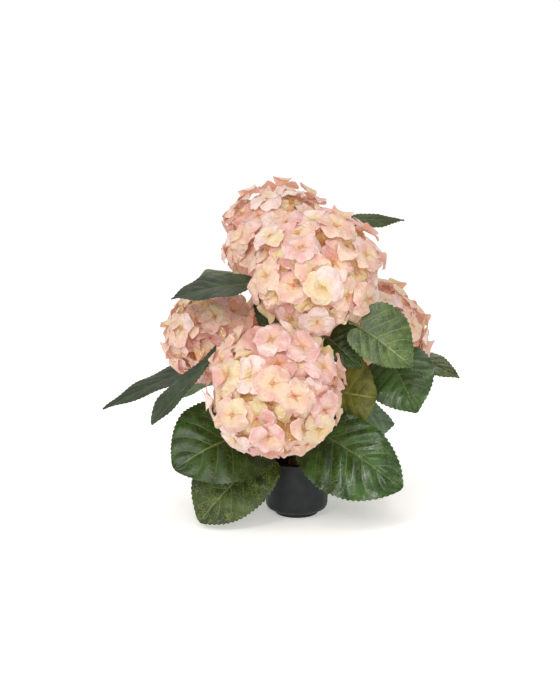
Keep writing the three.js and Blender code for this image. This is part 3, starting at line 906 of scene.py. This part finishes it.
def bridgeSpots(name):
    # florets on the ring where this bloom meets its neighbour, so that the two look like one
    (first, second), count, ring = bloomRule["bridge"]
    if name != first:
        return []
    centre, other = np.array(bloomSizes[first][0], float), np.array(bloomSizes[second][0], float)
    axis = unit(other - centre)
    radius, otherRadius = bloomSizes[first][1], bloomSizes[second][1]
    level = np.linalg.norm(other - centre) * radius / (radius + otherRadius)
    acrossOne = unit(np.cross(axis, (0.2, 0.1, 1)))
    acrossTwo = np.cross(axis, acrossOne)
    angles = np.arange(count) * 2 * math.pi / count
    outwards = [acrossOne * math.cos(a) + acrossTwo * math.sin(a) for a in angles]
    return [(centre + axis * level + out * ring, out, a) for out, a in zip(outwards, angles * 3)]


def setFlorets(name, index):
    # every floret of a bloom: its layer, place, turn and height, the highest being 0
    centre, radius, start, elbow = bloomSizes[name]
    centre = np.array(centre, float)
    facing = facingOf(name)
    turn = rotationTo(facing)
    planes = pressPlanes(name)
    random = seeded(16 + index * 97)
    fanPoint = centre - facing * radius * bloomRule["fan"]
    florets = []
    for layer, (count, depth, tiltMost) in bloomRule["layers"].items():
        spots = []
        placed = round(count * (radius / bloomRule["countedOn"]) ** 2)
        for direction, far, spin in floretPlaces(radius, placed, 11 + index * 97, depth):
            at = centre + turn @ direction * far
            if not any(at.dot(normal) < level - bloomRule["overlap"] for normal, level in planes):
                spots.append((at, unit(at - fanPoint), spin))
        if layer == "outer":
            spots += bridgeSpots(name)
        for at, outward, spin in spots:
            away = at - centre
            far = float(np.linalg.norm(away))
            hit = leafTree.ray_cast(Vector(centre), Vector(away / far), far + 3)
            if hit[0] is not None and hit[3] < radius * bloomRule["leafDepth"]:
                continue
            height = 0
            if layer == "outer":  # the height that the fewest neighbours sit at
                near = [
                    one["height"]
                    for one in florets
                    if np.linalg.norm(one["at"] - at) < bloomRule["neighbour"] and one["layer"] == layer
                ]
                height = min(range(3), key=lambda h: (near.count(h), random()))
            at = at - away / far * bloomRule["step"] * height
            if hit[0] is not None:
                at = centre + away / far * min(hit[3] - 6, float(np.linalg.norm(at - centre)))
            angle = math.radians((random() + random() - 1) * tiltMost * (1 + 0.5 * height))
            tilt = Matrix.Rotation(angle, 3, Vector((math.cos(spin * 3), math.sin(spin * 3), 0)))
            whole = rotationTo(outward) @ np.array(tilt) @ np.array(Matrix.Rotation(spin, 3, "Z"))
            florets.append({"layer": layer, "at": at, "whole": whole, "height": height})
    return florets


def softened(shift):
    # spreads a push over the petal's grid, so that it bends and isn't pinched
    grid = np.pad(shift.reshape(petalRows, -1, 3), ((1, 1), (1, 1), (0, 0)), mode="edge")
    return (
        2 * grid[1:-1, 1:-1] + grid[:-2, 1:-1] + grid[2:, 1:-1] + grid[1:-1, :-2] + grid[1:-1, 2:]
    ).reshape(-1, 3) / 6


def breadth(points):
    # how broad a petal is, across its length
    return np.linalg.svd(points - points.mean(0), compute_uv=False)[1]


def liningUnder(points):
    grid = points.reshape(petalRows, -1, 3)
    upwards = np.cross(np.gradient(grid, axis=1), np.gradient(grid, axis=0)).reshape(-1, 3)
    upwards /= np.linalg.norm(upwards, axis=1, keepdims=True) + 1e-9
    return points - upwards * bloomRule["lining"]


def pressUnder(points, floret, florets):
    # petals slip under the florets that sit higher
    for other in florets:
        if other["layer"] != floret["layer"] or other["height"] >= floret["height"]:
            continue
        if np.linalg.norm(other["at"] - floret["at"]) > bloomRule["pressReach"]:
            continue
        local = (points - other["at"]) @ other["whole"]
        under = np.hypot(local[:, 0], local[:, 1]) < bloomRule["reach"]
        local[:, 2] = np.where(under & (local[:, 2] > -4), -4 + 0.15 * (local[:, 2] + 4), local[:, 2])
        points = other["at"] + local @ other["whole"].T
    return points


def growBloom(name, index):
    centre, radius, start, elbow = bloomSizes[name]
    centre = np.array(centre, float)
    turn = rotationTo(facingOf(name))
    planes = pressPlanes(name)
    random = seeded(5 + index * 97)
    florets = setFlorets(name, index)
    petals, linings, tints, beads, beadKinds, stalks = [], [], [], [], [], []
    hubAngles = np.arange(6) * math.pi / 3
    hubs = [centre + turn @ (np.array([math.cos(a), math.sin(a), 0.2]) * radius * 0.3) for a in hubAngles]
    root = centre - facingOf(name) * radius * stemSizes["inward"]
    for floret in florets:
        at, whole, layer = floret["at"], floret["whole"], floret["layer"]
        deal = floretDeals[floret["height"] if layer == "outer" else layer]
        scheme = deal[int(random() * len(deal))]
        mood = 0.2 * floret["height"] + 0.75 * random() ** 1.5
        kept = []
        for petal in range(4):
            quarter = np.array(Matrix.Rotation(math.pi / 2 * petal + (random() - 0.5) * 0.25, 3, "Z"))
            local = petalPoints(random, mood)
            local[:, 2] += 1.2 * (petal % 2)
            free = (whole @ quarter @ local.T).T + at
            points = pressUnder(free, floret, florets)
            for normal, level in planes:  # petals that reach far into the next bloom are pressed back
                over = level - bloomRule["pressBack"] - points @ normal
                points = points + normal * np.clip(over, 0, None)[:, None] * 0.8
            # none stands far out of the head
            reach = np.linalg.norm(points - centre, axis=1, keepdims=True)
            held = np.minimum(reach, radius + 1 + 0.3 * (reach - radius - 1))
            points = centre + (points - centre) * held / reach
            points = free + softened(softened(points - free))
            met = 0
            for i, point in enumerate(points):
                reach = point - at
                far = float(np.linalg.norm(reach))
                if far > 1:
                    hit = leafTree.ray_cast(Vector(at), Vector(reach / far), far + 0.6)
                    if hit[0] is not None:
                        points[i] = at + reach / far * max(0.5, hit[3] - 0.8)
                        met += 1
            pinched = breadth(points) < bloomRule["pinch"] * breadth(free)
            if pinched or met > len(points) * bloomRule["mostMet"]:
                continue  # no room for it beside a leaf
            own = scheme if random() < 0.8 else deal[int(random() * len(deal))]
            kept.append((points, own))
        if len(kept) < bloomRule["petalsKept"]:  # a floret that has lost half its petals is left out
            continue
        for points, own in kept:
            petals.append(points)
            linings.append(liningUnder(points))
            tints.append(petalFaceTints(own))
        if layer == "outer":
            size = 1.5 + random() * 0.7
            beads.append((whole @ (beadPoints * size).T).T + at + whole @ np.array([0, 0, 1.0]))
            beadKinds.append(np.full(len(beadFaces), 0 if random() < 0.55 else 1))
        hub = min(hubs, key=lambda one: np.linalg.norm(one - at))
        sag = centre * 0.3 + at * 0.7 + np.array([0, 0, -2.0])
        stalks.append((hub, sag, at - whole @ np.array([0, 0, 0.6])))
    for hub in hubs:
        stalks.append((root, (root + hub) / 2 + facingOf(name) * 6, hub))

    petalCount = len(petalGrid)
    upper = np.concatenate([petalFaces + i * petalCount for i in range(len(petals))])
    under = upper[:, ::-1] + petalCount * len(petals)
    petalMaps = np.tile((petalGrid + 1) / 2, (2 * len(petals), 1))
    piece = meshFromArrays(
        f"petals_{name}", np.concatenate(petals + linings), np.concatenate([upper, under]), petalFinishes,
        np.concatenate(tints + [np.full(len(under), len(petalTints))]), petalMaps
    )
    finishPiece(piece, "bloom", f"bloom_{name}")

    allFaces = np.concatenate([beadFaces + i * len(beadPoints) for i in range(len(beads))])
    piece = meshFromArrays(
        f"hearts_{name}", np.concatenate(beads), allFaces, (beadFinish, budFinish), np.concatenate(beadKinds)
    )
    finishPiece(piece, "bloom", f"bloom_{name}")

    sides, rings = 4, 5
    points, faces = [], []
    for a, b, c in stalks:
        line = bezier(a, b, c, np.linspace(0, 1, rings))
        heading = unit(line[-1] - line[0])
        first = unit(np.cross(heading, (0.3, 0.2, 0.9)))
        second = np.cross(heading, first)
        base = len(points)
        for k, middle in enumerate(line):
            r = 1.25 - 0.45 * k / (rings - 1)
            for j in range(sides):
                w = 2 * math.pi * j / sides
                points.append(middle + r * (first * math.cos(w) + second * math.sin(w)))
        for k in range(rings - 1):
            for j in range(sides):
                low, nextLow = base + k * sides + j, base + k * sides + (j + 1) % sides
                faces.append((low, nextLow, nextLow + sides, low + sides))
        faces.append(tuple(base + j for j in reversed(range(sides))))
        faces.append(tuple(base + (rings - 1) * sides + j for j in range(sides)))
    piece = meshFromArrays(f"stalks_{name}", points, faces, (stalkFinish,))
    finishPiece(piece, "stem", f"bloom_{name}")
    print("stage: bloom", name, "has", len(beads), "outer florets and", len(petals), "petals")


for index, name in enumerate(bloomSizes):
    growBloom(name, index)

bpy.ops.mesh.primitive_circle_add(vertices=96, radius=9, fill_type="NGON", location=(0, 0, 0))
floor = bpy.context.object
floor.name = "floor"
floorFinish, tree, shader = newFinish(
    "paleFloor", Roughness=0.7, Specular_IOR_Level=0.2, Emission_Color=(1, 1, 1, 1), Emission_Strength=0.34
)
grain = cloud(tree, objectPoints(tree), 3, 2)
paint(tree, shader, mixTints(tree, grain, tint("f2f1ef"), tint("f5f4f2")))
floor.data.materials.append(floorFinish)

# a white room: bright near the horizon, dimmer overhead
studio = {
    "horizon": 1.06,
    "overhead": 0.66,
    "fade": (0.1, 0.26),  # the one turns into the other between these heights
    "colour": (1.0, 0.975, 0.945, 1),
    "sunPower": 0.6,
    "sunWidth": 32,
    "sunColour": (1.0, 0.985, 0.96),
    "sunFrom": (-0.9, -1.5, 1.9),
    "sunAim": (0, 0, 0.1),
}
world = bpy.data.worlds.new("studio")
bpy.context.scene.world = world
world.use_nodes = True
tree = world.node_tree
around = tree.nodes.new("ShaderNodeTexCoord")
split = tree.nodes.new("ShaderNodeSeparateXYZ")
tree.links.new(around.outputs["Generated"], split.inputs[0])
background = tree.nodes["Background"]
background.inputs["Color"].default_value = studio["colour"]
glow = ramp(tree, split.outputs[2], *studio["fade"], studio["horizon"], studio["overhead"])
tree.links.new(glow, background.inputs["Strength"])


def aimed(place, aim):
    return (Vector(aim) - Vector(place)).to_track_quat("-Z", "Y").to_euler()


bpy.ops.object.light_add(type="SUN", location=(-1, -1.4, 1.8))
sun = bpy.context.object
sun.name = "bigSoftLight"
sun.data.energy = studio["sunPower"]
sun.data.angle = math.radians(studio["sunWidth"])
sun.data.color = studio["sunColour"]
sun.rotation_euler = aimed(studio["sunFrom"], studio["sunAim"])

studioLights = {  # place, aim, size, watts, colour
    "front": ((0.12, -1.45, 0.8), (0, 0, 0.15), 0.34, 4, (1.0, 0.99, 0.98)),
    "left": ((-0.62, -1.3, 1.0), (0, 0, 0.15), 0.36, 4.4, (1.0, 0.99, 0.98)),
    "high": ((0.05, -1.25, 1.5), (0, 0, 0.2), 0.36, 4, (1.0, 0.99, 0.97)),
    "back": ((0.3, 1.5, 1.5), (0, 0, 0.25), 1.2, 8, (1.0, 1.0, 1.0)),
}
for name, (place, aim, size, watts, colour) in studioLights.items():
    bpy.ops.object.light_add(type="AREA", location=place)
    lamp = bpy.context.object
    lamp.name = name
    lamp.data.size = size
    lamp.data.energy = watts
    lamp.data.color = colour
    lamp.rotation_euler = aimed(place, aim)

view = {"lens": 63.3, "sensor": 36, "place": (-0.0221, -1.5732, 0.5104), "down": 10.5, "farthest": 60}
camera = bpy.data.cameras.new("camera")
camera.lens = view["lens"]
camera.sensor_width = view["sensor"]
camera.clip_end = view["farthest"]
cameraObject = bpy.data.objects.new("camera", camera)
bpy.context.scene.collection.objects.link(cameraObject)
cameraObject.location = view["place"]
cameraObject.rotation_euler = (math.radians(90 - view["down"]), 0, 0)
bpy.context.scene.camera = cameraObject
bpy.context.scene.view_settings.view_transform = "Standard"

print("stage: scene ready")
